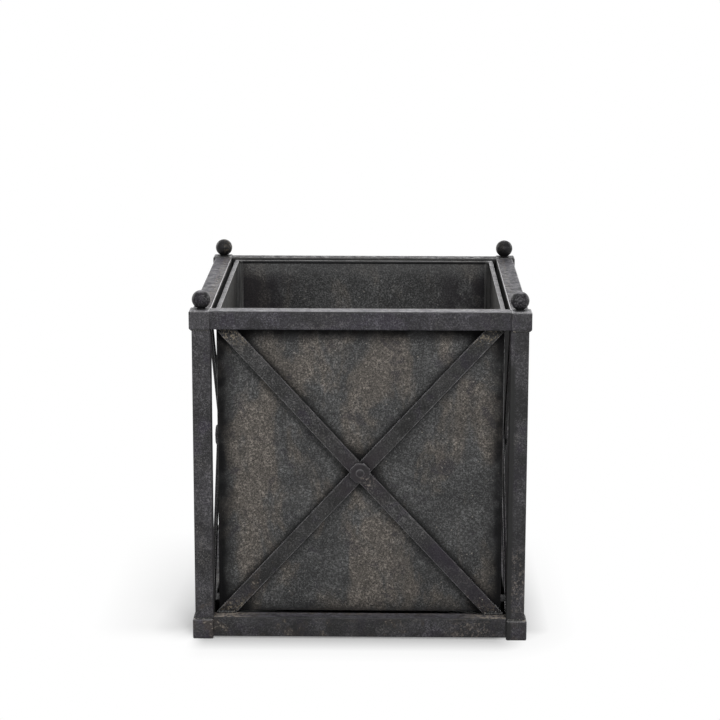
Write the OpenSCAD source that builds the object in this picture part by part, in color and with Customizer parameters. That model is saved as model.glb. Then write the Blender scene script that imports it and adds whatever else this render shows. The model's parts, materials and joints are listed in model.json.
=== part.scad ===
// Square iron planter: a welded tube cage with crossed flat bars on each side,
// ball finials on the corner blocks, and a sheet-metal liner that lifts out.
// Millimetres, +Z up. The origin is on the floor under the middle; the front faces -Y.

/* [Overall] */
// Width and depth over the corner blocks
frame_w = 460; // [360:5:700]
// Height from the floor to the tops of the corner blocks
frame_h = 461; // [360:1:700]

/* [Square tube] */
// Side of the tube in posts and top rails
tube_w = 25; // [20:0.5:32]
// Wall of the tube
tube_wall = 2; // [1.5:0.1:3]
// Radius of the tube's outer corners
tube_r = 1.8; // [0.8:0.1:3]
// Height of the base rails
base_rail_h = 28; // [20:0.5:40]
// Depth of the base rails, from front to back
base_rail_w = 22; // [20:0.5:25]
// Gap between the floor and the underside of the base rails
base_rail_lift = 3; // [1:0.5:15]

/* [Corner blocks] */
// How far the blocks stand proud of the tubes' outer faces
block_proud = 3.5; // [1:0.1:8]
// How far the top blocks rise above the top rails
block_rise = 1; // [0:0.1:6]
// Height of the foot blocks
foot_h = 28.5; // [15:0.5:50]
// Radius of the blocks' worn edges
block_r = 3; // [1:0.1:5]

/* [Ball finials] */
// Diameter of the balls
ball_d = 25; // [18:0.5:28]
// Height of the short neck between block and ball
neck_h = 0.5; // [0.3:0.1:6]
// Diameter of the neck
neck_d = 11; // [10:0.5:16]
// Diameter of the spigot under each ball
spigot_d = 8; // [5:0.5:10]
// Length of the spigot under each ball
spigot_l = 10; // [6:0.5:14]
// Gap round the spigot and below it, in its hole
spigot_gap = 0.1; // [0.05:0.05:0.3]

/* [Crossed bars] */
// Width of the flat bars
bar_w = 20; // [12:0.5:30]
// Thickness of the flat bars
bar_t = 4.5; // [3:0.25:6]
// How far the outer bar's ends are drawn in from its flat at the crossing
bar_draw = 3; // [0:0.25:3]
// Distance along the rails from the posts to the middle of each bar's end
bar_inset = 16.5; // [0:0.5:40]
// Rosette at each crossing, across its flats
rosette_w = 27; // [20:0.5:36]
// Thickness of the rosette
rosette_t = 2.5; // [1.5:0.1:4]
// Width of the bevel round the rosette's outer face, at its flats
rosette_bevel = 1.2; // [0.4:0.1:1.4]
// Diameter of the rivet's shank
rivet_d = 8; // [5:0.5:10]
// Gap round the rivet's shank, in its holes
rivet_gap = 0.1; // [0.05:0.05:0.3]
// Diameter of the rivet's domed head
rivet_head_d = 12; // [11:0.5:18]
// Height of the rivet's domed head
rivet_head_h = 1.2; // [0.8:0.1:4]
// Diameter of the rivet's hammered tail
rivet_tail_d = 12; // [11:0.5:18]
// Height of the rivet's hammered tail
rivet_tail_h = 2; // [1:0.1:3]

/* [Liner slats] */
// Width of the slats that carry the liner
slat_w = 30; // [15:1:60]
// Thickness of the slats
slat_t = 4; // [3:0.5:6]
// Distance from the liner's outer face to the middle of an outer slat
slat_edge = 60; // [35:1:100]

/* [Liner] */
// Gap between the liner and the tubes on each side
liner_gap = 6; // [4:0.5:12]
// How far the liner's rim lies below the top faces of the top rails
rim_drop = 2; // [0:0.5:12]
// Thickness of the liner's sheet
sheet_t = 1; // [0.8:0.1:2]
// How far the wall sheets lie behind the corner seams' outer faces
wall_recess = 1.5; // [0.5:0.1:3]
// Radius of the corner seams' outer edge
seam_r = 1.4; // [0.5:0.1:1.8]
// Reach of the corner seams along each wall
tab_w = 12; // [8:0.5:25]
// Width of the rim strip
rim_w = 6; // [4.5:0.1:9]
// Height of the rim strip
rim_h = 3.5; // [3:0.1:10]
// Radius of the rim strip's edges
rim_r = 1; // [0.4:0.1:1.4]

/* [Hidden] */
$fn = 64;

// Sides of the planter, as turns about Z from the front
front = 0;
right = 90;
back = 180;
left = 270;

// Finishes
iron_color = [0.19, 0.19, 0.20];
worn_iron_color = [0.24, 0.24, 0.25];
sheet_color = [0.17, 0.165, 0.155];

// Plan of the cage, as distances from the middle
block_w = tube_w + block_proud;
block_mid = (frame_w - block_w) / 2;
tube_in = frame_w / 2 - block_w;
tube_mid = tube_in + tube_w / 2;
base_rail_mid = tube_in + tube_w - base_rail_w / 2;
base_rail_in = base_rail_mid - base_rail_w / 2;

// Heights of the cage
top_block_h = tube_w + block_rise;
rail_bottom = frame_h - top_block_h;
rail_top = rail_bottom + tube_w;
base_top = base_rail_lift + base_rail_h;
post_h = rail_bottom - foot_h;

// Opening on each side, which the crossed bars span from rail to rail
opening_w = 2 * tube_in;
opening_h = rail_bottom - base_top;
cross_z = base_top + opening_h / 2;
bar_angle = atan2(opening_h, opening_w - 2 * bar_inset);
bar_half = norm([opening_w - 2 * bar_inset, opening_h]) / 2;
bar_reach = norm([opening_w, opening_h]) / 2 + bar_w;
inner_bar_mid = tube_in + bar_t / 2;
outer_bar_mid = inner_bar_mid + bar_t;
rosette_seat = tube_in + 2 * bar_t;
rosette_r = rosette_w / 2 / cos(22.5);
rivet_grip = 2 * bar_t + rosette_t;

// Flat of the outer bar over the crossing, to each side of the rivet
bar_flat = max(rosette_r, bar_w);

// Run of the rosette's bevel for each millimetre that it falls
bevel_run = 2;

// Liner, as distances from the middle and heights
liner_half = tube_in - liner_gap;
seam_w = wall_recess + 2 * sheet_t;
wall_half = liner_half - seam_w;
wall_out = liner_half - wall_recess;
wall_in = wall_out - sheet_t;
rim_top = rail_top - rim_drop;
rim_bottom = rim_top - rim_h;
wall_h = rim_bottom - base_top;
slat_place = liner_half - slat_edge;

// Rectangle with rounded corners, about the middle
module rounded_section(w, h, r) {
    square([w - 2 * r, h], center = true);
    square([w, h - 2 * r], center = true);
    for (x = [-1, 1], y = [-1, 1])
        translate([x * (w / 2 - r), y * (h / 2 - r)]) circle(r);
}

// Section of a tube with sharp inner corners
module tube_section(w, h) {
    difference() {
        rounded_section(w, h, tube_r);
        square([w - 2 * tube_wall, h - 2 * tube_wall], center = true);
    }
}

// Extrusion along X, about the middle
module along_x(length) {
    rotate([90, 0, 90]) linear_extrude(height = length, center = true) children();
}

// Block with all its edges rounded, about the middle
module worn_block(w, h, r) {
    intersection() {
        linear_extrude(height = h, center = true) rounded_section(w, w, r);
        rotate([90, 0, 0]) linear_extrude(height = w, center = true) rounded_section(w, h, r);
        along_x(w) rounded_section(w, h, r);
    }
}

// Dome of diameter d and height h, standing on z = 0
module dome(d, h) {
    cap_r = (h * h + d * d / 4) / (2 * h);
    intersection() {
        translate([0, 0, h - cap_r]) sphere(cap_r);
        cylinder(h = h, d = d);
    }
}

module post(side_x, side_y) {
    color(iron_color)
        translate([side_x * tube_mid, side_y * tube_mid, foot_h])
            linear_extrude(height = post_h) tube_section(tube_w, tube_w);
}

module top_rail(turn) {
    color(iron_color)
        rotate([0, 0, turn])
            translate([0, -tube_mid, rail_bottom + tube_w / 2])
                along_x(opening_w) tube_section(tube_w, tube_w);
}

module base_rail(turn) {
    color(iron_color)
        rotate([0, 0, turn])
            translate([0, -base_rail_mid, base_rail_lift + base_rail_h / 2])
                along_x(opening_w) tube_section(base_rail_w, base_rail_h);
}

module top_block(side_x, side_y) {
    color(worn_iron_color)
        difference() {
            translate([side_x * block_mid, side_y * block_mid, frame_h - top_block_h / 2])
                worn_block(block_w, top_block_h, block_r);
            translate([side_x * tube_mid, side_y * tube_mid, frame_h - spigot_l - spigot_gap])
                cylinder(h = spigot_l + 1, d = spigot_d + 2 * spigot_gap);
        }
}

module foot_block(side_x, side_y) {
    color(worn_iron_color)
        translate([side_x * block_mid, side_y * block_mid, foot_h / 2])
            worn_block(block_w, foot_h, block_r);
}

// Ball over the post's axis, on a short neck, with a spigot into the top block
module ball_finial(side_x, side_y) {
    color(worn_iron_color)
        translate([side_x * tube_mid, side_y * tube_mid, frame_h]) {
            translate([0, 0, neck_h + ball_d / 2]) sphere(d = ball_d);
            cylinder(h = neck_h + ball_d / 4, d = neck_d);
            translate([0, 0, -spigot_l]) cylinder(h = spigot_l + ball_d / 4, d = spigot_d);
        }
}

// Hole through both bars for the rivet, along Y
module rivet_hole() {
    translate([0, 0, cross_z])
        rotate([90, 0, 0]) cylinder(h = frame_w / 2, d = rivet_d + 2 * rivet_gap);
}

// Edge of a bar, seen square to its length: flat over the crossing, its ends drawn in
module bar_edge(draw) {
    fall = draw * (bar_reach - bar_flat) / (bar_half - bar_flat);
    translate([0, -bar_t / 2])
        polygon([
            [-bar_reach, fall], [-bar_flat, 0], [bar_flat, 0], [bar_reach, fall],
            [bar_reach, fall + bar_t], [bar_flat, bar_t], [-bar_flat, bar_t], [-bar_reach, fall + bar_t]
        ]);
}

// Flat bar from rail to rail across the front opening; lean is 1 where it falls to the right
module crossed_bar(lean, mid, draw) {
    difference() {
        intersection() {
            translate([0, -mid, cross_z])
                rotate([0, lean * bar_angle, 0])
                    linear_extrude(height = bar_w, center = true) bar_edge(draw);
            translate([0, -mid, cross_z])
                cube([opening_w, 4 * (bar_t + draw), opening_h], center = true);
        }
        rivet_hole();
    }
}

// The outer bar is sprung over the inner one, so that its ends lie deeper than its middle
module outer_bar(turn) {
    color(iron_color) rotate([0, 0, turn]) crossed_bar(1, outer_bar_mid, bar_draw);
}

module inner_bar(turn) {
    color(iron_color) rotate([0, 0, turn]) crossed_bar(-1, inner_bar_mid, 0);
}

// Octagon with a flat at the top, its outer face bevelled all round
module rosette(turn) {
    face_r = rosette_w / 2 - rosette_bevel;
    color(worn_iron_color)
        rotate([0, 0, turn])
            translate([0, -rosette_seat, cross_z])
                rotate([90, 0, 0])
                    difference() {
                        intersection() {
                            rotate([0, 0, 22.5]) cylinder(h = rosette_t, r = rosette_r, $fn = 8);
                            cylinder(h = rosette_t, r1 = face_r + bevel_run * rosette_t, r2 = face_r);
                        }
                        translate([0, 0, -1]) cylinder(h = rosette_t + 2, d = rivet_d + 2 * rivet_gap);
                    }
}

module rivet(turn) {
    color(worn_iron_color)
        rotate([0, 0, turn])
            translate([0, -tube_in, cross_z])
                rotate([90, 0, 0]) {
                    translate([0, 0, -rivet_tail_h / 2])
                        cylinder(h = rivet_grip + (rivet_tail_h + rivet_head_h) / 2, d = rivet_d);
                    translate([0, 0, rivet_grip]) dome(rivet_head_d, rivet_head_h);
                    rotate([180, 0, 0]) dome(rivet_tail_d, rivet_tail_h);
                }
}

// Flat bar between the side base rails, its top face level with theirs
module liner_slat(place) {
    color(iron_color)
        translate([-base_rail_in, place * slat_place - slat_w / 2, base_top - slat_t])
            cube([2 * base_rail_in, slat_w, slat_t]);
}

module liner_wall(turn) {
    color(sheet_color)
        rotate([0, 0, turn])
            translate([-wall_half, -wall_out, base_top])
                cube([2 * wall_half, sheet_t, wall_h]);
}

// Folded seam at the left end of a wall, with a tab along the inside of both walls
module liner_corner(turn) {
    color(sheet_color)
        rotate([0, 0, turn])
            translate([-liner_half, -liner_half, base_top])
                linear_extrude(height = wall_h) seam_section();
}

// Plan of the seam, with its outer corner at the origin and the liner towards +X and +Y
module seam_section() {
    translate([seam_r, 0]) square([seam_w - seam_r, seam_w]);
    translate([0, seam_r]) square([seam_w, seam_w - seam_r]);
    translate([seam_r, seam_r]) circle(seam_r);
    translate([seam_r, seam_w - sheet_t]) square([tab_w - seam_r, sheet_t]);
    translate([seam_w - sheet_t, seam_r]) square([sheet_t, tab_w - seam_r]);
}

// Strip along the top of a wall, mitred at both ends
module liner_rim(turn) {
    color(sheet_color)
        rotate([0, 0, turn])
            intersection() {
                translate([0, -liner_half + rim_w / 2, rim_bottom + rim_h / 2])
                    along_x(2 * liner_half) rounded_section(rim_w, rim_h, rim_r);
                translate([0, 0, rim_bottom - 1])
                    linear_extrude(height = rim_h + 2)
                        polygon([[0, 0], [-liner_half, -liner_half], [liner_half, -liner_half]]);
            }
}

// Sheet between the walls, its corners cut out round the seams and their tabs
module liner_base() {
    color(sheet_color)
        translate([0, 0, base_top])
            linear_extrude(height = sheet_t)
                difference() {
                    square(2 * wall_in, center = true);
                    for (turn = [front, right, back, left])
                        rotate([0, 0, turn]) translate([-liner_half, -liner_half]) seam_section();
                }
}

post(-1, -1);  // post_front_left
post(1, -1);  // post_front_right
post(-1, 1);  // post_back_left
post(1, 1);  // post_back_right
top_rail(front);  // top_rail_front
top_rail(right);  // top_rail_right
top_rail(back);  // top_rail_back
top_rail(left);  // top_rail_left
base_rail(front);  // base_rail_front
base_rail(right);  // base_rail_right
base_rail(back);  // base_rail_back
base_rail(left);  // base_rail_left
top_block(-1, -1);  // top_block_front_left
top_block(1, -1);  // top_block_front_right
top_block(-1, 1);  // top_block_back_left
top_block(1, 1);  // top_block_back_right
foot_block(-1, -1);  // foot_block_front_left
foot_block(1, -1);  // foot_block_front_right
foot_block(-1, 1);  // foot_block_back_left
foot_block(1, 1);  // foot_block_back_right
ball_finial(-1, -1);  // ball_finial_front_left
ball_finial(1, -1);  // ball_finial_front_right
ball_finial(-1, 1);  // ball_finial_back_left
ball_finial(1, 1);  // ball_finial_back_right
outer_bar(front);  // outer_bar_front
outer_bar(right);  // outer_bar_right
outer_bar(back);  // outer_bar_back
outer_bar(left);  // outer_bar_left
inner_bar(front);  // inner_bar_front
inner_bar(right);  // inner_bar_right
inner_bar(back);  // inner_bar_back
inner_bar(left);  // inner_bar_left
rosette(front);  // rosette_front
rosette(right);  // rosette_right
rosette(back);  // rosette_back
rosette(left);  // rosette_left
rivet(front);  // rivet_front
rivet(right);  // rivet_right
rivet(back);  // rivet_back
rivet(left);  // rivet_left
liner_slat(-1);  // liner_slat_front
liner_slat(0);  // liner_slat_middle
liner_slat(1);  // liner_slat_back
liner_wall(front);  // liner_wall_front
liner_wall(right);  // liner_wall_right
liner_wall(back);  // liner_wall_back
liner_wall(left);  // liner_wall_left
liner_corner(front);  // liner_corner_front_left
liner_corner(right);  // liner_corner_front_right
liner_corner(left);  // liner_corner_back_left
liner_corner(back);  // liner_corner_back_right
liner_rim(front);  // liner_rim_front
liner_rim(right);  // liner_rim_right
liner_rim(back);  // liner_rim_back
liner_rim(left);  // liner_rim_left
liner_base();
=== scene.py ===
import json
import math
import random

import bmesh
import bpy
from mathutils import Matrix, Vector


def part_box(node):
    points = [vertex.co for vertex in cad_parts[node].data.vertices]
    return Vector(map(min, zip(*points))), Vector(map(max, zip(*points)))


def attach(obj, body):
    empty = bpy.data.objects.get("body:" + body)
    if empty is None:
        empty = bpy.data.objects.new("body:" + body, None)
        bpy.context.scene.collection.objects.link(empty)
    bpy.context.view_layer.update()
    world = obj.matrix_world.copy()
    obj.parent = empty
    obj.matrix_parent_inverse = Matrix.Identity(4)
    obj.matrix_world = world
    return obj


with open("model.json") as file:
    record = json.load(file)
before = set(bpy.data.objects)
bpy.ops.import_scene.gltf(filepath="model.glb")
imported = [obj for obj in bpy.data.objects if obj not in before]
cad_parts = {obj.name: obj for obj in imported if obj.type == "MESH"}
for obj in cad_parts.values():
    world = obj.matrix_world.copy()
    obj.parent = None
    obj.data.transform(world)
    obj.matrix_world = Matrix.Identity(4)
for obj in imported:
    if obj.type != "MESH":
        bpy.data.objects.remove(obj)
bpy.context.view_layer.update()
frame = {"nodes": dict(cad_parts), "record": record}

# The photograph's camera, fitted to the planter's corners. Lengths are metres, angles degrees.
IMAGE_SIDE = 720
FOCAL_PIXELS = 2232.0
SENSOR_MM = 36.0
CAMERA_AT = Vector((0.0358, -3.1554, 1.0309))
CAMERA_PITCH_DOWN = 12.2595
CAMERA_YAW_RIGHT = -0.706
CAMERA_ROLL = 0.130

# Half of the square below the planter in which the lamps alone light the floor, and the dark ring
# of painted shadow in it under the rails: inset of its middle, and how far from there it is darkest and where
# it ends
FOOTPRINT_HALF = 0.208
RING_INSET = 0.01
RING_DARK = 0.01
RING_END = 0.03

# Soft shades on the floor round the planter: middle and half of the square from whose edge a shade
# fades, how far it reaches, how strong it is, and the Y where it ends and where it is full
SHADES = (
    {
        "middle": (-0.0225, -0.0225), "half": FOOTPRINT_HALF, "reach": 0.052, "level": 0.74,
        "end": 0.26, "full": -0.2,
    },
    {
        "middle": (-0.0225, 0.03), "half": FOOTPRINT_HALF, "reach": 0.085, "level": 0.72,
        "end": 0.26, "full": -0.2,
    },
    {
        "middle": (-0.035, 0.02), "half": 0.19, "reach": 0.15, "level": 0.36,
        "end": 0.3, "full": -0.05,
    },
    {
        "middle": (0.02, 0.03), "half": FOOTPRINT_HALF, "reach": 0.045, "level": 0.6,
        "end": 0.3, "full": -0.05,
    },
)

# What the lamps aim at: the middle of the front, the top and the middle of the whole
FRONT_AIM = (0.0, -0.2, 0.3)
TOP_AIM = (0.0, 0.0, 0.4)
MIDDLE_AIM = (0.0, 0.0, 0.3)

# Rounding of the edges of bars and slats, the angle from which an edge is sharp, and the largest
# angle and gap inside one flat face of the solids' meshes
EDGE_ROUND = 0.0007
SHARP_ANGLE = math.radians(40)
FLAT_ANGLE = math.radians(0.2)
SAME_POINT = 1e-6

# Beads: leg of the fillets, spacing of their rings and ripples, segments of their convex side, and
# the length that they leave free at a tube's rounded edges
WELD_LEG = 0.0022
BAR_WELD_LEG = 1.5 * WELD_LEG
WELD_STEP = 0.0007
WELD_RIPPLE = 0.0031
WELD_ARC = 5
TUBE_ROUND = 0.0018
# As shares of the leg: how deep a bead's corner and its root lie in the metal, how much its ripples
# and its unevenness change it, and its size at an end; and the power that flattens its convex side
WELD_SINK = 0.08
WELD_ROOT = 0.25
WELD_SWELL = 0.15
WELD_UNEVEN = 0.16
WELD_END = 0.4
WELD_CONVEX = 0.8

# Drops of weld metal at a bar's end: how many, how far they lie along the bar and across it as a
# share of the bead's half, and the power that crowds them at the bead
DROP_COUNT = 24
DROP_REACH = 0.032
DROP_SPREAD = 0.9
DROP_CROWD = 1.5
# Smallest and largest radius of a drop, and its width and thickness as shares of the radius
DROP_RADII = (0.0006, 0.0018)
DROP_WIDTHS = (0.7, 1.3)
DROP_FLAT = 0.6

# Width of the crossed bars
BAR_W = 0.02

# Heights, and distances from the middle, that welds and finishes go by. The planter is square in
# plan, so such a distance holds on all four sides.
TUBE_FACE = -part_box("top_rail_front")[0][1]
RAIL_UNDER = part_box("top_rail_front")[0][2]
RAIL_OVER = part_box("base_rail_front")[1][2]
RAIL_INNER = -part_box("top_rail_front")[1][1]
BASE_INNER = -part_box("base_rail_front")[1][1]
BAR_FACE = -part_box("outer_bar_front")[0][1]
CROSS_Z = (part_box("rosette_front")[0][2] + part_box("rosette_front")[1][2]) / 2
SEAM_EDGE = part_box("liner_wall_front")[1][0]
RIM_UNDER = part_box("liner_rim_front")[0][2]
RIM_INNER = -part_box("liner_rim_front")[1][1]
# A distance inside the thickness of the liner's walls, and how far the corners' tabs reach inward
LINER_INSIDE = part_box("liner_wall_right")[0][0] + 0.0004
TAB_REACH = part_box("liner_corner_front_left")[1][0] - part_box("liner_wall_left")[1][0]

# Patches of flaked paint on the front: place and radius
FLAKED = (
    ((0.2165, -TUBE_FACE, 0.085), 0.06),
    ((0.155, -TUBE_FACE, 0.016), 0.04),
    ((0.009, -BAR_FACE - 0.001, CROSS_Z - 0.013), 0.014),
)

# Tints of the iron: slightly violet on most pieces, nearly neutral on the bars
COLD = (1.0, 0.965, 1.05)
VIOLET = (1.0, 0.95, 1.12)
NEUTRAL = (1.0, 0.985, 0.99)

# Colours laid on iron and sheet: dust with painted top light on top, painted shade in gaps and corners
DUST_AND_TOP_LIGHT = (0.113, 0.109, 0.124, 1.0)
PAINTED_SHADE = (0.002, 0.002, 0.0025, 1.0)
# On the iron: stain round the rivets, rust, flakes in it, splashes on the bars' ends, chipped paint,
# the bars' dark lower right and the deposit on the base rail beside the posts
RIVET_STAIN = (0.0145, 0.0112, 0.0138, 1.0)
RUST = (0.04, 0.032, 0.027, 1.0)
RUST_FLAKE = (0.28, 0.245, 0.205, 1.0)
SPLASH = (0.26, 0.22, 0.165, 1.0)
CHIP = (0.23, 0.2, 0.178, 1.0)
DARK_BAR = (0.012, 0.009, 0.014, 1.0)
DEPOSIT = (0.32, 0.28, 0.235, 1.0)
# On the sheet: warm bloom with its grain and grit, dark stains and darker patches inside
BLOOM = (0.044, 0.039, 0.034, 1.0)
BLOOM_GRAIN = (0.25, 0.22, 0.19, 1.0)
BLOOM_GRIT = (0.33, 0.29, 0.25, 1.0)
SHEET_STAIN = (0.018, 0.016, 0.02, 1.0)
INSIDE_DARK = (0.005, 0.0035, 0.0055, 1.0)
# Bare weld metal where it is warm
WARM_WELD = (0.22, 0.19, 0.155, 1.0)

SIDES = ("front", "right", "back", "left")
CORNERS = {"front_left": (-1, -1), "front_right": (1, -1), "back_left": (-1, 1), "back_right": (1, 1)}


class Graph:
    """The nodes of one material, with a short call for each kind that the finishes use."""

    def __init__(self, name):
        self.material = bpy.data.materials.new(name)
        self.material.use_nodes = True
        self.tree = self.material.node_tree
        self.shader = self.tree.nodes["Principled BSDF"]
        self.place = self.new("ShaderNodeTexCoord").outputs["Object"]

    def new(self, kind, **settings):
        """Adds a node of that kind with these settings."""
        made = self.tree.nodes.new(kind)
        for name, value in settings.items():
            setattr(made, name, value)
        return made

    def put(self, socket, value):
        """Links an output to the socket, or sets the value on it."""
        if isinstance(value, bpy.types.NodeSocket):
            self.tree.links.new(value, socket)
        else:
            socket.default_value = value

    def math(self, operation, a, b=0.0):
        """What the operation makes of a and b."""
        made = self.new("ShaderNodeMath", operation=operation)
        self.put(made.inputs[0], a)
        self.put(made.inputs[1], b)
        return made.outputs[0]

    def times(self, first, *others):
        """Product of masks: what all of them cover."""
        for other in others:
            first = self.math("MULTIPLY", first, other)
        return first

    def less(self, mask):
        """The opposite of a mask: 1 minus its value."""
        return self.math("SUBTRACT", 1.0, mask)

    def length(self, a, b):
        """Length of a line that reaches a one way and b square to it."""
        return self.math("SQRT", self.math("ADD", self.math("MULTIPLY", a, a), self.math("MULTIPLY", b, b)))

    def ramp(self, value, start, end, low=0.0, high=1.0, kind="SMOOTHSTEP"):
        """Step from low at start to high at end, smooth unless another kind is asked for."""
        made = self.new("ShaderNodeMapRange", interpolation_type=kind)
        self.put(made.inputs["Value"], value)
        self.put(made.inputs["From Min"], start)
        self.put(made.inputs["From Max"], end)
        self.put(made.inputs["To Min"], low)
        self.put(made.inputs["To Max"], high)
        return made.outputs[0]

    def between(self, mask, low, high):
        """low where the mask is 0, high where it is 1."""
        return self.ramp(mask, 0.0, 1.0, low, high)

    def mix(self, factor, a, b):
        """Colour a where the factor is 0, colour b where it is 1."""
        made = self.new("ShaderNodeMix", data_type="RGBA")
        self.put(made.inputs["Factor"], factor)
        self.put(made.inputs[6], a)
        self.put(made.inputs[7], b)
        return made.outputs[2]

    def bump(self, height, distance, below=None):
        """Normal of a surface raised by the height times the distance, over another bump if given."""
        made = self.new("ShaderNodeBump")
        self.put(made.inputs["Height"], height)
        self.put(made.inputs["Distance"], distance)
        if below is not None:
            self.put(made.inputs["Normal"], below)
        return made.outputs[0]

    def stretched(self, x, y, z):
        """The place, scaled along each axis, so that a pattern runs along a piece."""
        made = self.new("ShaderNodeVectorMath", operation="MULTIPLY")
        self.put(made.inputs[0], self.place)
        self.put(made.inputs[1], (x, y, z))
        return made.outputs[0]

    def noise(self, size, detail=3.0, roughness=0.55, distortion=0.0, place=None):
        """Noise with blotches of about that size in metres."""
        made = self.new("ShaderNodeTexNoise")
        self.put(made.inputs["Vector"], place or self.place)
        self.put(made.inputs["Scale"], 1.0 / size)
        self.put(made.inputs["Detail"], detail)
        self.put(made.inputs["Roughness"], roughness)
        self.put(made.inputs["Distortion"], distortion)
        return made.outputs[0]

    def dots(self, spacing, radius, share):
        """Mask of round specks: one cell in each spacing, of which about that share holds a speck."""
        cells = self.new("ShaderNodeTexVoronoi")
        self.put(cells.inputs["Vector"], self.place)
        self.put(cells.inputs["Scale"], 1.0 / spacing)
        near = self.ramp(cells.outputs["Distance"], radius / spacing, 0.4 * radius / spacing)
        drawn = self.new("ShaderNodeSeparateColor")
        self.put(drawn.inputs[0], cells.outputs["Color"])
        return self.times(near, self.math("LESS_THAN", drawn.outputs[0], share))

    def parts(self, vector):
        """The X, Y and Z of a vector."""
        apart = self.new("ShaderNodeSeparateXYZ")
        self.put(apart.inputs[0], vector)
        return [apart.outputs[axis] for axis in "XYZ"]

    def outward(self, vector):
        """How far a vector reaches along X and along Y, whichever its sign, and its Z."""
        x, y, z = self.parts(vector)
        return self.math("ABSOLUTE", x), self.math("ABSOLUTE", y), z

    def normal(self):
        """The surface's normal, without bump."""
        return self.new("ShaderNodeNewGeometry").outputs["Normal"]

    def corner_reach(self):
        """The smaller of a place's distances from the middle along X and Y: largest at the corners."""
        x, y, _ = self.outward(self.place)
        return self.math("MINIMUM", x, y)

    def side_reach(self):
        """The larger of a place's distances from the middle along X and Y: how far out it lies."""
        x, y, _ = self.outward(self.place)
        return self.math("MAXIMUM", x, y)

    def along_x(self, start, end):
        """Mask by the place from left to right: 0 at start, 1 at end."""
        return self.ramp(self.parts(self.place)[0], start, end)

    def along_y(self, start, end, low=0.0):
        """Mask by the place from front to back: low at start, 1 at end."""
        return self.ramp(self.parts(self.place)[1], start, end, low)

    def height_band(self, start, end, low=0.0):
        """Mask by the height above the floor: low at start, 1 at end."""
        return self.ramp(self.parts(self.place)[2], start, end, low)

    def off_back(self, low):
        """1 everywhere but on the planter's back side, where it is low."""
        return self.along_y(0.19, 0.17, low)

    def away_from_square(self, middle, half):
        """Distance from a square in the XY plane; negative inside."""
        across = (self.math("SUBTRACT", way, centre) for way, centre in zip(self.parts(self.place), middle))
        x, y = [self.math("SUBTRACT", self.math("ABSOLUTE", way), half) for way in across]
        inside = self.math("MINIMUM", self.math("MAXIMUM", x, y), 0.0)
        far_x, far_y = (self.math("MAXIMUM", way, 0.0) for way in (x, y))
        return self.math("ADD", inside, self.length(far_x, far_y))

    def edges(self, radius):
        """Mask of the pieces' edges: where a rounded normal leaves the true one."""
        rounded = self.new("ShaderNodeBevel", samples=6)
        self.put(rounded.inputs["Radius"], radius)
        dot = self.new("ShaderNodeVectorMath", operation="DOT_PRODUCT")
        self.put(dot.inputs[0], rounded.outputs[0])
        self.put(dot.inputs[1], self.normal())
        return self.ramp(dot.outputs["Value"], 0.985, 0.86)

    def rounded(self):
        """Mask of the rounded edges of upright and level pieces: there the normals lie along no axis."""
        x, y, z = self.outward(self.normal())
        largest = self.math("MAXIMUM", self.math("MAXIMUM", x, y), self.math("ABSOLUTE", z))
        return self.ramp(largest, 0.985, 0.88)

    def open_to_air(self, distance, shut, clear):
        """0 in narrow gaps and corners, 1 on open surfaces."""
        made = self.new("ShaderNodeAmbientOcclusion", samples=8)
        self.put(made.inputs["Distance"], distance)
        return self.ramp(made.outputs["AO"], shut, clear)

    def facing_up(self):
        """Mask of the faces that look up."""
        return self.ramp(self.parts(self.normal())[2], 0.75, 0.97)


def grey(value, tint=(1.0, 1.0, 1.0)):
    """Grey of that brightness, times a tint."""
    return (value * tint[0], value * tint[1], value * tint[2], 1.0)


def off_corners(g):
    """Mask of what lies between the corner blocks."""
    return g.ramp(g.corner_reach(), RAIL_INNER, RAIL_INNER - 0.001)


def near_crossing(g):
    """Mask of the dark stain round the rivet on each side, broken up by noise."""
    from_rivet = g.length(g.corner_reach(), g.math("SUBTRACT", g.parts(g.place)[2], CROSS_Z))
    broken = g.ramp(g.noise(0.022, 4.0, 0.6, 0.6), 0.42, 0.58, 0.2, 0.8)
    return g.times(g.ramp(from_rivet, 0.075, 0.015), broken)


def bar_ends(g):
    """Mask of the crossed bars' ends, which lie behind the tubes' outer faces."""
    behind = g.ramp(g.side_reach(), BAR_FACE + 0.003, BAR_FACE + 0.002)
    upper = g.height_band(RAIL_UNDER - 0.03, RAIL_UNDER - 0.007)
    lower = g.height_band(RAIL_OVER + 0.024, RAIL_OVER + 0.005)
    return g.times(behind, g.math("ADD", upper, lower))


def flaked(g):
    """Mask of the patches where the paint has flaked off."""
    total = 0.0
    for middle, radius in FLAKED:
        apart = g.new("ShaderNodeVectorMath", operation="DISTANCE")
        g.put(apart.inputs[0], g.place)
        g.put(apart.inputs[1], middle)
        total = g.math("MAXIMUM", total, g.ramp(apart.outputs["Value"], radius, 0.3 * radius))
    return total


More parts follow.
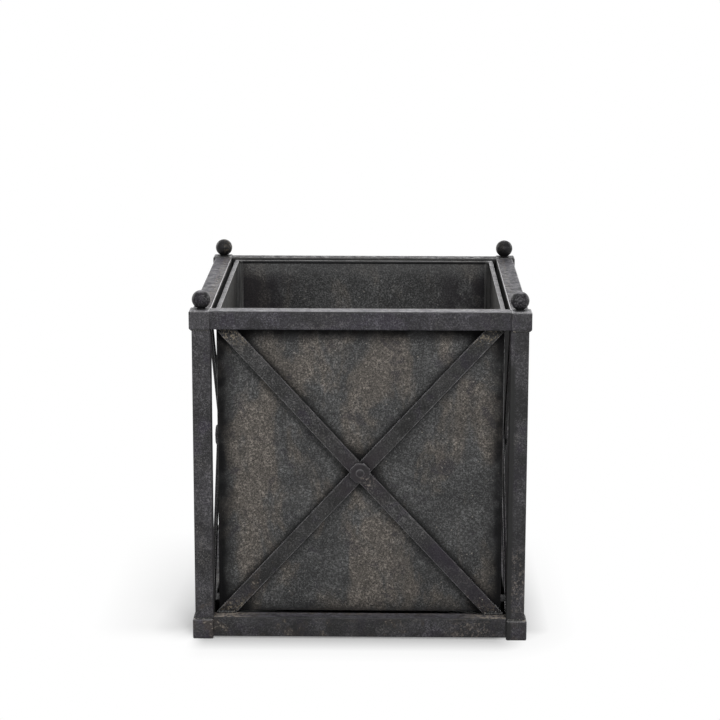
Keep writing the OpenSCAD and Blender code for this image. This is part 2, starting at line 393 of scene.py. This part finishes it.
def iron_ground(g, cloud, dark, light, tint):
    """Black and violet clouds under sandy grain and grit, with dark hollows and a few pale specks."""
    base = g.mix(cloud, grey(0.6 * dark, tint), grey(1.9 * dark, tint))
    violet = g.ramp(g.noise(0.035, 3.0, distortion=0.8), 0.52, 0.66, 0.0, 0.7)
    base = g.mix(violet, base, (1.3 * dark, 1.05 * dark, 1.65 * dark, 1.0))
    warm = g.ramp(g.noise(0.07, 3.0, distortion=0.6), 0.5, 0.7)
    sand = g.mix(warm, grey(light, tint), grey(light, (1.08, 1.01, 0.94)))
    patches = g.ramp(g.noise(0.013, 4.0, 0.6), 0.3, 0.7, 0.5, 1.25)
    grain = g.ramp(g.noise(0.0024, 5.0, 0.72), 0.45, 0.7)
    base = g.mix(g.times(grain, g.times(g.between(cloud, 0.5, 1.1), patches)), base, sand)
    grit = g.ramp(g.noise(0.0017, 2.0, 0.8), 0.56, 0.68, 0.0, 0.5)
    base = g.mix(g.times(grit, patches), base, grey(1.6 * light, (1.0, 0.97, 0.98)))
    hollows = g.ramp(g.noise(0.0021, 2.0, 0.7), 0.44, 0.35, 0.0, 0.7)
    base = g.mix(hollows, base, grey(0.25 * dark))
    specks = g.times(g.dots(0.006, 0.0011, 0.09), 0.5)
    return g.mix(specks, base, grey(0.22, (1.0, 0.96, 0.9)))


def iron_stains(g, base):
    """Stains round the rivets, rust low down, splashes on the bars' ends and chipped paint."""
    base = g.mix(near_crossing(g), base, RIVET_STAIN)
    rust = g.times(g.ramp(g.noise(0.028, 5.0, 0.7, 0.3), 0.52, 0.62), g.height_band(0.15, 0.04))
    base = g.mix(g.times(rust, 0.6), base, RUST)
    flakes = g.ramp(g.noise(0.0045, 3.0, 0.6), 0.58, 0.66, 0.0, 0.6)
    base = g.mix(g.times(rust, flakes), base, RUST_FLAKE)
    splash = g.times(bar_ends(g), g.ramp(g.noise(0.0032, 3.0, 0.7), 0.5, 0.6, 0.0, 0.8))
    base = g.mix(splash, base, SPLASH)
    chips = g.ramp(g.noise(0.0038, 3.0, 0.65), 0.54, 0.62, 0.0, 0.7)
    return g.mix(g.times(flaked(g), chips), base, CHIP)


def iron_shades(g, cloud, base, dark, slanting):
    """Painted shade on the base rails and on the right side. Slanting pieces are darker at the lower
    right too, and the others get painted shade in a strip along the inner side of the right posts."""
    # Painted shade: darker low on the base rails and towards the right side
    base_rails = g.times(g.height_band(RAIL_OVER + 0.029, RAIL_OVER - 0.001), off_corners(g))
    shaded_low_and_right = g.math("MAXIMUM", base_rails, g.along_x(0.14, 0.21))
    base = g.mix(g.times(shaded_low_and_right, g.between(cloud, 0.6, 0.3)), base, grey(0.2 * dark))
    if slanting:
        low_right = g.times(g.along_x(0.05, 0.13), g.height_band(0.17, 0.11))
        return g.mix(g.times(low_right, g.between(cloud, 0.75, 0.45)), base, DARK_BAR)
    # Painted shade in a strip along the inner side of the right posts, below the rails
    strip = g.times(
        g.along_x(RAIL_INNER - 0.0015, RAIL_INNER), g.along_x(RAIL_INNER + 0.009, RAIL_INNER + 0.005)
    )
    below_rail = g.height_band(RAIL_UNDER - 0.035, RAIL_UNDER - 0.055)
    return g.mix(g.times(strip, below_rail), base, grey(0.5 * dark))


def iron_tops(g, base, dark):
    """Dust with painted top light on upward faces, painted shade on the inner part of the back, a
    painted sheen on the front rail's top, and the deposit on the front base rail beside the posts."""
    above = g.facing_up()
    # Dust with painted top light on upward faces, less on the back rail
    dust = g.ramp(g.noise(0.01, 6.0, 0.8), 0.36, 0.6, 0.0, 0.95)
    streaks = g.ramp(g.noise(0.004, 4.0, 0.75), 0.4, 0.6, 0.45, 1.0)
    dust_and_top_light = g.times(dust, streaks, above, g.along_y(RAIL_INNER, RAIL_INNER - 0.004, 0.45))
    base = g.mix(dust_and_top_light, base, DUST_AND_TOP_LIGHT)
    # Painted shade on the inner part of the back
    back_top_shade = g.times(
        g.along_y(RAIL_INNER + 0.018, RAIL_INNER + 0.002), g.along_y(RAIL_INNER - 0.002, RAIL_INNER)
    )
    base = g.mix(g.times(back_top_shade, 0.8), base, grey(dark))
    front = g.along_y(-RAIL_INNER + 0.002, -RAIL_INNER - 0.002)
    # Painted sheen on the front top rail's top
    front_top_sheen = g.times(front, g.height_band(RAIL_UNDER - 0.035, RAIL_UNDER - 0.015), above)
    front_top_sheen = g.times(front_top_sheen, g.ramp(streaks, 0.45, 1.0, 0.4, 0.85))
    base = g.mix(front_top_sheen, base, grey(0.27, (1.0, 0.98, 1.04)))
    near_posts = g.ramp(g.corner_reach(), 0.13, 0.19)
    ledge = g.times(above, near_posts, g.height_band(RAIL_OVER + 0.019, RAIL_OVER + 0.009))
    ledge = g.times(ledge, g.along_y(-0.15, -0.19), g.ramp(g.noise(0.006, 4.0, 0.7), 0.4, 0.58))
    return g.mix(ledge, base, DEPOSIT)


def iron_air(g):
    """0 where painted shade falls, in gaps and corners and below the liner, 1 in the open and by the floor.
    """
    unshaded = g.times(g.open_to_air(0.022, 0.3, 0.8), g.open_to_air(0.07, 0.2, 0.5))
    unshaded = g.math("MAXIMUM", unshaded, g.height_band(0.012, 0.007))
    # Painted shade on the base rails' inner faces below the liner
    inner = g.ramp(g.side_reach(), BASE_INNER + 0.0007, BASE_INNER + 0.0002)
    under_liner = g.times(inner, g.height_band(RAIL_OVER + 0.0006, RAIL_OVER - 0.0004))
    return g.times(unshaded, g.less(g.times(under_liner, 0.9)))


def iron_edges(g, base, dark, edge_wear, slanting):
    """Edges worn to the metal with a painted highlight where they look up, brightest round the liner
    and weaker at the back, and painted shade on the rounded front edges of rails that look forward."""
    by_liner = g.ramp(g.side_reach(), RAIL_INNER + 0.005, RAIL_INNER + 0.003)
    # Painted highlight on worn edges that look up, brightest by the liner, weaker at the back
    worn = g.times(g.ramp(g.noise(0.007, 4.0, 0.7), 0.34, 0.6, 0.15, 1.0), edge_wear)
    worn = g.math("MAXIMUM", worn, g.times(by_liner, g.along_y(0.19, -0.1, 0.4)))
    worn = g.times(worn, g.off_back(0.3))
    _, across, up = g.parts(g.normal())
    upper = g.ramp(up, 0.4, 0.85)
    if slanting:
        edges = g.times(g.edges(0.0017), g.between(upper, 0.45, 1.0))
    else:
        worn = g.times(worn, g.height_band(0.02, 0.4, 0.35))
        # Painted shade on the rounded front edges of rails that look forward, which get no highlight
        forward = g.times(g.ramp(across, -0.15, -0.4), off_corners(g))
        worn = g.times(worn, g.less(forward))
        shaded = g.times(forward, g.rounded(), g.ramp(up, 0.05, 0.2))
        base = g.mix(g.times(shaded, 0.85), base, grey(0.5 * dark))
        edges = g.times(g.math("MAXIMUM", g.rounded(), g.edges(0.0014)), upper)
    # Worn metal with a painted highlight, brighter by the liner
    bare_and_highlight = g.mix(by_liner, grey(0.45, (1.0, 0.985, 1.01)), grey(0.85, (1.0, 0.985, 1.01)))
    return g.mix(g.times(edges, worn), base, bare_and_highlight)


def iron_material(name, dark, light, rough, pits, edge_wear=0.85, slanting=False, gloss=0.25, tint=COLD):
    """Blackened iron: dark and light are the shades of its ground and its sandy grain, rough the
    smallest and largest roughness, pits the depth of its hollows and edge_wear how strongly its edges
    are worn with a painted highlight. Slanting is for pieces whose edges don't lie along the axes."""
    g = Graph(name)
    cloud = g.ramp(g.noise(0.045, 5.0, 0.62, 0.4), 0.34, 0.66)
    base = iron_ground(g, cloud, dark, light, tint)
    base = iron_stains(g, base)
    base = iron_shades(g, cloud, base, dark, slanting)
    base = iron_tops(g, base, dark)
    unshaded = iron_air(g)
    # Black painted shade in gaps, corners and below the liner
    base = g.mix(unshaded, PAINTED_SHADE, base)
    g.put(g.shader.inputs["Base Color"], iron_edges(g, base, dark, edge_wear, slanting))
    even = g.ramp(g.noise(0.012, 4.0), 0.3, 0.7, *rough)
    wiped = g.ramp(g.noise(0.009, 5.0, 0.7), 0.35, 0.65, -0.06, 0.3)
    uneven = g.math("ADD", even, g.times(g.facing_up(), wiped))
    g.put(g.shader.inputs["Roughness"], g.math("MAXIMUM", uneven, g.ramp(unshaded, 0.0, 0.8, 1.0, 0.0)))
    g.put(g.shader.inputs["Specular IOR Level"], gloss)
    sand = g.bump(g.noise(0.0014, 4.0, 0.65), 0.0003)
    g.put(g.shader.inputs["Normal"], g.bump(g.noise(0.006, 4.0, 0.65), pits, sand))
    return g.material


def sheet_ground(g, inside):
    """Dark ground with warm bloom in upright patches, dark stains, fine grit and pale specks;
    gives its colour and the mask of its grain."""
    outer_share = g.between(inside, 1.0, 0.5)
    upright = g.stretched(1.0, 1.0, 0.45)
    bloom = g.times(g.ramp(g.noise(0.055, 5.0, 0.62, 0.5, upright), 0.46, 0.6, 0.0, 0.9), outer_share)
    cloud = g.ramp(g.noise(0.06, 5.0, 0.62), 0.34, 0.66)
    cool = g.mix(cloud, grey(0.013, (0.98, 1.0, 1.02)), grey(0.03, (1.0, 1.0, 0.99)))
    base = g.mix(bloom, cool, BLOOM)
    patches = g.ramp(g.noise(0.012, 4.0, 0.6), 0.3, 0.7, 0.6, 1.15)
    cover = g.times(g.between(cloud, 0.55, 1.1), patches)
    grain = g.ramp(g.noise(0.0025, 5.0, 0.72), 0.44, 0.7)
    base = g.mix(g.times(grain, cover), base, g.mix(bloom, grey(0.15, (0.99, 1.0, 1.0)), BLOOM_GRAIN))
    stain = g.ramp(g.noise(0.032, 4.0, 0.6, 0.8), 0.57, 0.7, 0.0, 0.75)
    base = g.mix(g.times(stain, outer_share), base, SHEET_STAIN)
    grit = g.times(g.ramp(g.noise(0.0017, 2.0, 0.8), 0.55, 0.68, 0.0, 0.55), patches)
    base = g.mix(grit, base, g.mix(bloom, grey(0.2), BLOOM_GRIT))
    hollows = g.ramp(g.noise(0.0022, 2.0, 0.7), 0.45, 0.35, 0.0, 0.8)
    base = g.mix(hollows, base, grey(0.008))
    specks = g.times(g.dots(0.007, 0.0013, 0.14), 0.5)
    return g.mix(specks, base, grey(0.34, (1.0, 0.93, 0.82))), grain


def sheet_inside(g, base, inside, grain):
    """The walls' inner faces: black, with darker patches towards the corners and lower down, and
    painted light at the top of the back wall and of the side walls."""
    # Darker patches towards the inside corners and lower down
    patchy = g.ramp(g.noise(0.05, 4.0, 0.6, 0.6), 0.36, 0.56, 0.0, 0.85)
    near_corner = g.ramp(g.corner_reach(), 0.08, 0.15)
    lower = g.height_band(RIM_UNDER - 0.0025, RIM_UNDER - 0.0295)
    base = g.mix(g.times(patchy, inside, g.times(near_corner, lower)), base, INSIDE_DARK)
    # Painted light at the top of the back wall inside
    back_top = g.times(g.height_band(RIM_UNDER - 0.0295, RIM_UNDER - 0.0045), g.along_y(0.12, 0.19))
    lit_back_top = g.times(inside, back_top, g.between(grain, 0.25, 0.65))
    base = g.mix(lit_back_top, base, grey(0.11))
    # Painted light at the top of the side walls inside
    side_walls = g.ramp(g.outward(g.place)[0], LINER_INSIDE - 0.002, LINER_INSIDE - 0.0008)
    sides = g.times(inside, side_walls, 0.5, g.height_band(0.35, 0.42))
    return g.mix(sides, base, grey(0.1, (1.0, 0.98, 0.94)))


def sheet_air(g, inside):
    """0 where painted shade falls: in gaps, outside along the posts and top rails, and low at the corners."""
    # Painted shadows of the posts and top rails on the sheet outside
    beside_posts = g.ramp(g.corner_reach(), SEAM_EDGE - 0.026, SEAM_EDGE - 0.002)
    below_rails = g.ramp(g.parts(g.place)[2], RAIL_UNDER - 0.03, RAIL_UNDER - 0.006)
    margins = g.math("MAXIMUM", beside_posts, below_rails)
    margins = g.times(margins, g.ramp(g.noise(0.02), 0.3, 0.7, 0.6, 0.95), g.between(inside, 1.0, 0.0))
    # Painted shade low at the corners beside the posts
    foot = g.times(g.ramp(g.corner_reach(), SEAM_EDGE - 0.008, SEAM_EDGE), g.height_band(0.2, 0.07))
    unshaded = g.times(g.open_to_air(0.03, 0.42, 0.88), g.less(margins))
    return g.times(unshaded, g.less(g.times(foot, 0.95)))


def sheet_edges(g, base, inside):
    """Worn edges with a painted highlight on the rim and outer seams, painted top light on the side rims,
    painted highlights on the folds and corner tabs inside, and a painted shadow as a dark line below the back
    rim."""
    worn = g.ramp(g.noise(0.008, 4.0, 0.7), 0.3, 0.6, 0.3, 1.0)
    on_top = g.ramp(g.parts(g.normal())[2], 0.2, 0.7)
    seams = g.ramp(g.corner_reach(), SEAM_EDGE - 0.0002, SEAM_EDGE + 0.0002)
    # Worn edges with a painted highlight on the rim and the outer seams, weaker at the back
    ridge = g.math("MAXIMUM", on_top, g.times(seams, g.height_band(0.12, 0.35)))
    ridge = g.times(ridge, g.between(on_top, 0.25, 1.0), g.off_back(0.15))
    base = g.mix(g.times(g.rounded(), ridge, worn), base, grey(0.7))
    # Painted top light on the side rims' tops
    side_rims = g.ramp(g.outward(g.place)[0], RIM_INNER - 0.0055, RIM_INNER - 0.0015)
    rim = g.times(g.facing_up(), g.height_band(RIM_UNDER - 0.0045, RIM_UNDER + 0.0005), side_rims)
    base = g.mix(g.times(rim, g.ramp(worn, 0.3, 1.0, 0.35, 0.7)), base, grey(0.3, (1.0, 0.98, 1.02)))
    # Painted highlights on the folds inside
    folds = g.times(g.edges(0.0013), inside, g.between(on_top, 0.5, 0.0))
    base = g.mix(folds, base, grey(0.2))
    # Painted shadow: a dark line below the back rim inside
    back_lip = g.along_y(RIM_INNER - 0.0045, RIM_INNER - 0.0005)
    lip = g.times(inside, g.height_band(RIM_UNDER - 0.002, RIM_UNDER - 0.001), back_lip, g.less(on_top))
    base = g.mix(g.times(lip, 0.85), base, PAINTED_SHADE)
    # Painted highlights along the edges of the corner tabs inside
    tab_edge = LINER_INSIDE - TAB_REACH
    tabs = g.times(g.ramp(g.corner_reach(), tab_edge - 0.0004, tab_edge + 0.0004), inside)
    streaks = g.ramp(g.noise(0.004, 3.0, 0.6, 0.0, g.stretched(1.0, 1.0, 0.06)), 0.4, 0.62, 0.25, 0.85)
    tabs = g.times(tabs, g.between(on_top, 1.0, 0.0), streaks)
    return g.mix(tabs, base, grey(0.1, (1.0, 0.99, 0.97)))


def sheet_material(name):
    """Blackened sheet of the liner: mottled with warm bloom outside, darker inside with darker patches, with
    painted light and shade.
    """
    g = Graph(name)
    inside = g.ramp(g.away_from_square((0.0, 0.0), LINER_INSIDE), 0.0002, -0.0002)
    base, grain = sheet_ground(g, inside)
    base = sheet_inside(g, base, inside, grain)
    unshaded = sheet_air(g, inside)
    # Black painted shade in gaps and where the frame shades the sheet
    base = g.mix(unshaded, PAINTED_SHADE, base)
    g.put(g.shader.inputs["Base Color"], sheet_edges(g, base, inside))
    rough = g.ramp(g.noise(0.02, 4.0), 0.3, 0.7, 0.48, 0.68)
    g.put(g.shader.inputs["Roughness"], g.math("MAXIMUM", rough, g.ramp(unshaded, 0.0, 0.8, 1.0, 0.0)))
    g.put(g.shader.inputs["Specular IOR Level"], 0.25)
    grit = g.bump(g.noise(0.0018, 4.0, 0.68), 0.0003)
    g.put(g.shader.inputs["Normal"], g.bump(g.noise(0.05, 2.0), 0.0008, grit))
    return g.material


def weld_material(name):
    """Weld metal under worn paint: black painted shade in the hollows, grey and tan where it stands out."""
    g = Graph(name)
    worn = g.ramp(g.noise(0.003, 4.0, 0.65), 0.52, 0.68)
    warm = g.ramp(g.noise(0.02, 3.0), 0.42, 0.6)
    base = g.mix(worn, grey(0.022), g.mix(warm, grey(0.13), WARM_WELD))
    # Black painted shade in the weld's hollows
    base = g.mix(g.open_to_air(0.006, 0.2, 0.7), PAINTED_SHADE, base)
    g.put(g.shader.inputs["Base Color"], base)
    g.put(g.shader.inputs["Roughness"], g.between(worn, 0.6, 0.42))
    g.put(g.shader.inputs["Specular IOR Level"], 0.3)
    g.put(g.shader.inputs["Normal"], g.bump(g.noise(0.0012, 3.0, 0.6), 0.0002))
    return g.material


FINISHES = {
    "iron": iron_material("iron_finish", dark=0.016, light=0.115, rough=(0.38, 0.56), pits=0.0003),
    "forged_iron": iron_material(
        "forged_iron_finish", dark=0.02, light=0.12, rough=(0.34, 0.5), pits=0.0005, edge_wear=0.7
    ),
    "liner_sheet": sheet_material("liner_sheet_finish"),
}
# Finishes of the pieces whose names hold these words, in place of their slot's
OWN_FINISHES = {
    "top_rail_": iron_material(
        "top_rail_finish", dark=0.013, light=0.09, rough=(0.38, 0.56), pits=0.0003, tint=VIOLET
    ),
    "outer_bar_": iron_material(
        "outer_bar_finish", dark=0.012, light=0.108, rough=(0.4, 0.58), pits=0.0004,
        edge_wear=0.9, slanting=True, gloss=0.2, tint=NEUTRAL,
    ),
    "inner_bar_": iron_material(
        "inner_bar_finish", dark=0.01, light=0.07, rough=(0.38, 0.54), pits=0.0003,
        edge_wear=0.9, slanting=True, gloss=0.2, tint=NEUTRAL,
    ),
    "ball_": iron_material(
        "ball_finish", dark=0.01, light=0.13, rough=(0.3, 0.42), pits=0.0004, edge_wear=0.0, gloss=0.12
    ),
    "rosette_": iron_material(
        "rosette_finish", dark=0.008, light=0.045, rough=(0.36, 0.5), pits=0.0005,
        edge_wear=0.9, slanting=True,
    ),
    "rivet_": iron_material(
        "rivet_finish", dark=0.009, light=0.05, rough=(0.36, 0.5), pits=0.0005,
        edge_wear=0.25, slanting=True,
    ),
}
WELD_FINISH = weld_material("weld_finish")


def dress_frame():
    """Gives every node its finish, and rounds the sharp edges of bars and slats."""
    for subpart in frame["record"]["subparts"]:
        node = frame["nodes"][subpart["node"]]
        node.material_slots[0].link = "OBJECT"
        own = [finish for word, finish in OWN_FINISHES.items() if word in node.name]
        node.material_slots[0].material = own[0] if own else FINISHES[subpart["material_slot"]]
        if "_bar_" in node.name or "slat" in node.name:
            join = node.modifiers.new("join", "WELD")
            join.merge_threshold = SAME_POINT
            flatten = node.modifiers.new("flatten", "DECIMATE")
            flatten.decimate_type = "DISSOLVE"
            flatten.angle_limit = FLAT_ANGLE
            round_off = node.modifiers.new("round_off", "BEVEL")
            round_off.width = EDGE_ROUND
            round_off.segments = 3
            round_off.angle_limit = SHARP_ANGLE
            round_off.harden_normals = True


def add_bead(mesh, start, end, side_a, side_b, leg, rand):
    """A weld along a corner from start to end: a rippled, convex fillet with a leg on each face."""
    run = end - start
    rings = round(run.length / WELD_STEP)
    loops = []
    for ring in range(rings + 1):
        along = run.length * ring / rings
        ripple = WELD_SWELL * math.sin(2 * math.pi * along / WELD_RIPPLE)
        swell = 1.0 + ripple + rand.uniform(-WELD_UNEVEN, WELD_UNEVEN)
        taper = min(1.0, WELD_END + min(along, run.length - along) / leg)
        corner = start + run * (ring / rings) - (side_a + side_b) * WELD_SINK * leg
        loop = [corner - (side_a + side_b) * WELD_ROOT * leg]
        for step in range(WELD_ARC + 1):
            turn = math.pi / 2 * step / WELD_ARC
            reach_a = max(math.cos(turn), 0.0) ** WELD_CONVEX
            reach_b = max(math.sin(turn), 0.0) ** WELD_CONVEX
            loop.append(corner + (side_a * reach_a + side_b * reach_b) * leg * swell * taper)
        loops.append([mesh.verts.new(point) for point in loop])
    for low, high in zip(loops, loops[1:]):
        for step in range(len(low)):
            after = (step + 1) % len(low)
            mesh.faces.new((low[step], low[after], high[after], high[step]))
    mesh.faces.new(loops[0])
    mesh.faces.new(reversed(loops[-1]))


def add_drops(mesh, corner, way_a, way_b, count, rand):
    """Drops of weld metal on the patch that the two ways span from the corner, densest along way b."""
    out = way_a.cross(way_b).normalized()
    for _ in range(count):
        spot = corner + way_a * rand.random() ** DROP_CROWD + way_b * rand.random()
        radius = rand.uniform(*DROP_RADII)
        lie = out.to_track_quat("Z", "Y").to_matrix().to_4x4()
        width = radius * rand.uniform(*DROP_WIDTHS)
        shape = Matrix.Diagonal((radius, width, radius * DROP_FLAT, 1.0))
        turn = Matrix.Rotation(rand.uniform(0.0, math.pi), 4, "Z")
        place = Matrix.Translation(spot) @ lie @ turn @ shape
        bmesh.ops.create_icosphere(mesh, subdivisions=2, radius=1.0, matrix=place)


def finish_welds(name, mesh):
    """Turns the welds in the mesh into one piece that rides on the frame."""
    bmesh.ops.recalc_face_normals(mesh, faces=mesh.faces)
    for face in mesh.faces:
        face.smooth = True
    data = bpy.data.meshes.new(name)
    mesh.to_mesh(data)
    mesh.free()
    welds = bpy.data.objects.new(name, data)
    bpy.context.scene.collection.objects.link(welds)
    data.materials.append(WELD_FINISH)
    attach(welds, "planter_frame")


def build_corner_welds(corner, side_x, side_y):
    """Beads where a post's two outer faces meet its top block and its foot block."""
    rand = random.Random("corner " + corner)
    mesh = bmesh.new()
    low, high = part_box("post_" + corner)
    tube_w = high[0] - low[0]
    middle = Vector(((low[0] + high[0]) / 2, (low[1] + high[1]) / 2, 0.0))
    half_run = tube_w / 2 - TUBE_ROUND
    faces = (
        (Vector((side_x, 0, 0)), Vector((0, 1, 0))),
        (Vector((0, side_y, 0)), Vector((1, 0, 0))),
    )
    for out, side in faces:
        for height, away in ((low[2], 1), (high[2], -1)):
            foot = middle + out * tube_w / 2 + Vector((0, 0, height))
            up = Vector((0, 0, away))
            add_bead(mesh, foot - side * half_run, foot + side * half_run, out, up, WELD_LEG, rand)
    finish_welds("welds_" + corner, mesh)


def end_face(name):
    """Y of a front bar's outer face at its foot."""
    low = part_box(name)[0]
    return min(point.co.y for point in frame["nodes"][name].data.vertices if point.co.z < low[2] + 0.001)


def build_bar_welds(side, turns):
    """Beads and drops where the crossed bars of one side end on the rails."""
    rand = random.Random("bars " + side)
    mesh = bmesh.new()
    for bar, lean in (("outer_bar_front", 1), ("inner_bar_front", -1)):
        low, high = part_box(bar)
        face_y = end_face(bar)
        reach = high[0] - low[0]
        climb = RAIL_UNDER - RAIL_OVER
        slope = math.atan2(climb, reach - BAR_W / math.sin(math.atan2(climb, reach)))
        half = BAR_W / 2 / math.sin(slope)
        for height, away in ((RAIL_OVER, 1), (RAIL_UNDER, -1)):
            end_x = lean * away * (reach / 2 - half)
            foot = Vector((end_x, face_y, height))
            along = Vector((half, 0, 0))
            out = Vector((0, -1, 0))
            up = Vector((0, 0, away))
            add_bead(mesh, foot - along, foot + along, out, up, BAR_WELD_LEG, rand)
            slant = Vector((lean * -away * math.cos(slope), 0, away * math.sin(slope))) * DROP_REACH
            across = along * DROP_SPREAD
            add_drops(mesh, foot - across, slant, across * 2, DROP_COUNT, rand)
    bmesh.ops.transform(mesh, matrix=Matrix.Rotation(turns * math.pi / 2, 4, "Z"), verts=mesh.verts)
    finish_welds("welds_bars_" + side, mesh)


def build_camera():
    """The photograph's camera."""
    pitch, yaw, roll = map(math.radians, (CAMERA_PITCH_DOWN, CAMERA_YAW_RIGHT, CAMERA_ROLL))
    ahead = Vector((math.sin(yaw) * math.cos(pitch), math.cos(yaw) * math.cos(pitch), -math.sin(pitch)))
    level = Vector((math.cos(yaw), -math.sin(yaw), 0.0))
    over = level.cross(ahead)
    right = level * math.cos(roll) + over * math.sin(roll)
    up = over * math.cos(roll) - level * math.sin(roll)
    camera = bpy.data.objects.new("camera", bpy.data.cameras.new("camera"))
    camera.data.sensor_width = SENSOR_MM
    camera.data.lens = FOCAL_PIXELS / IMAGE_SIDE * SENSOR_MM
    camera.data.clip_start = 0.05
    camera.data.clip_end = 60.0
    camera.matrix_world = Matrix.Translation(CAMERA_AT) @ Matrix((right, up, -ahead)).transposed().to_4x4()
    bpy.context.scene.collection.objects.link(camera)
    bpy.context.scene.camera = camera


def softbox(name, at, aim, width, height, level):
    """Area lamp that alone lights a facing surface at its aim to that level."""
    lamp = bpy.data.lights.new(name, "AREA")
    lamp.shape = "RECTANGLE"
    lamp.size = width
    lamp.size_y = height
    offset = Vector(aim) - Vector(at)
    lamp.energy = level * (math.pi * offset.length) ** 2
    made = bpy.data.objects.new(name, lamp)
    made.location = at
    made.rotation_euler = offset.to_track_quat("-Z", "Y").to_euler()
    bpy.context.scene.collection.objects.link(made)


def seen_directly(tree):
    """1 for camera, glossy and transmitted rays, 0 for the light that the object gets."""
    path = tree.nodes.new("ShaderNodeLightPath")
    total = path.outputs["Is Camera Ray"]
    for name in ("Is Glossy Ray", "Is Transmission Ray"):
        largest = tree.nodes.new("ShaderNodeMath")
        largest.operation = "MAXIMUM"
        tree.links.new(total, largest.inputs[0])
        tree.links.new(path.outputs[name], largest.inputs[1])
        total = largest.outputs[0]
    return total


def build_world(level):
    """White surroundings for what is seen directly, which light the object only to that level."""
    world = bpy.data.worlds.new("studio")
    world.use_nodes = True
    tree = world.node_tree
    tree.nodes["Background"].inputs["Strength"].default_value = level
    white = tree.nodes.new("ShaderNodeBackground")
    mixed = tree.nodes.new("ShaderNodeMixShader")
    for background in (tree.nodes["Background"], white):
        background.inputs["Color"].default_value = (1.0, 1.0, 1.0, 1.0)
    tree.links.new(seen_directly(tree), mixed.inputs[0])
    tree.links.new(tree.nodes["Background"].outputs[0], mixed.inputs[1])
    tree.links.new(white.outputs[0], mixed.inputs[2])
    tree.links.new(mixed.outputs[0], tree.nodes["World Output"].inputs["Surface"])
    bpy.context.scene.world = world


def floor_share(g, past_planter):
    """How much of the floor's own white shows: none below the planter, and less in its soft shades,
    which leave out what lies both in front of it and to its left."""
    x, y, _ = g.parts(g.place)
    amount = 0.0
    for shade in SHADES:
        past = g.away_from_square(shade["middle"], shade["half"])
        fade = g.ramp(past, shade["reach"], 0.0, 0.0, shade["level"], "LINEAR")
        along = g.ramp(y, shade["end"], shade["full"], kind="LINEAR")
        amount = g.math("MAXIMUM", amount, g.times(fade, along))
    off_front_left = g.math("MAXIMUM", g.ramp(y, -0.25, -0.17), g.ramp(x, -0.24, -0.21))
    return g.times(g.less(g.times(amount, off_front_left)), g.ramp(past_planter, 0.0, 0.008))


def build_floor(half):
    """Floor that shows white round the planter, with soft painted shades for its shadow. Below the planter
    the lamps light it, and a dark ring of painted shadow lies under the rails."""
    mesh = bpy.data.meshes.new("floor")
    mesh.from_pydata(
        [(-half, -half, 0), (half, -half, 0), (half, half, 0), (-half, half, 0)], [], [(0, 1, 2, 3)]
    )
    floor = bpy.data.objects.new("floor", mesh)
    bpy.context.scene.collection.objects.link(floor)
    g = Graph("floor_finish")
    g.put(g.shader.inputs["Roughness"], 0.9)
    g.put(g.shader.inputs["Specular IOR Level"], 0.0)
    past_planter = g.away_from_square((0.0, 0.0), FOOTPRINT_HALF)
    # Painted shadow: a dark ring of floor colour under the rails
    from_ring = g.math("ABSOLUTE", g.math("ADD", past_planter, RING_INSET))
    g.put(g.shader.inputs["Base Color"], g.mix(g.ramp(from_ring, RING_DARK, RING_END), grey(0.02), grey(0.6)))
    mixed = g.new("ShaderNodeMixShader")
    g.put(mixed.inputs[0], g.times(floor_share(g, past_planter), seen_directly(g.tree)))
    g.put(mixed.inputs[1], g.shader.outputs[0])
    g.put(mixed.inputs[2], g.new("ShaderNodeEmission").outputs[0])
    g.put(g.tree.nodes["Material Output"].inputs["Surface"], mixed.outputs[0])
    mesh.materials.append(g.material)


dress_frame()
for corner, (side_x, side_y) in CORNERS.items():
    build_corner_welds(corner, side_x, side_y)
for turns, side in enumerate(SIDES):
    build_bar_welds(side, turns)
build_camera()
build_world(level=0.08)
softbox("key", (0.6, -2.5, 1.8), FRONT_AIM, width=0.8, height=0.8, level=0.67)
softbox("right", (2.5, -0.9, 0.9), FRONT_AIM, width=0.6, height=1.2, level=0.2)
softbox("fill", (-1.7, -2.4, 1.7), FRONT_AIM, width=1.2, height=1.2, level=0.3)
softbox("overhead", (0.0, 0.2, 2.6), TOP_AIM, width=1.6, height=1.6, level=0.28)
softbox("back", (0.0, 2.6, 1.3), TOP_AIM, width=1.6, height=0.9, level=0.08)
softbox("rear_left", (-2.3, 2.0, 1.1), MIDDLE_AIM, width=1.4, height=1.2, level=0.2)
softbox("rear_right", (2.3, 2.0, 1.1), MIDDLE_AIM, width=1.4, height=1.2, level=0.2)
build_floor(half=8.0)

bpy.context.scene.view_settings.view_transform = "Standard"
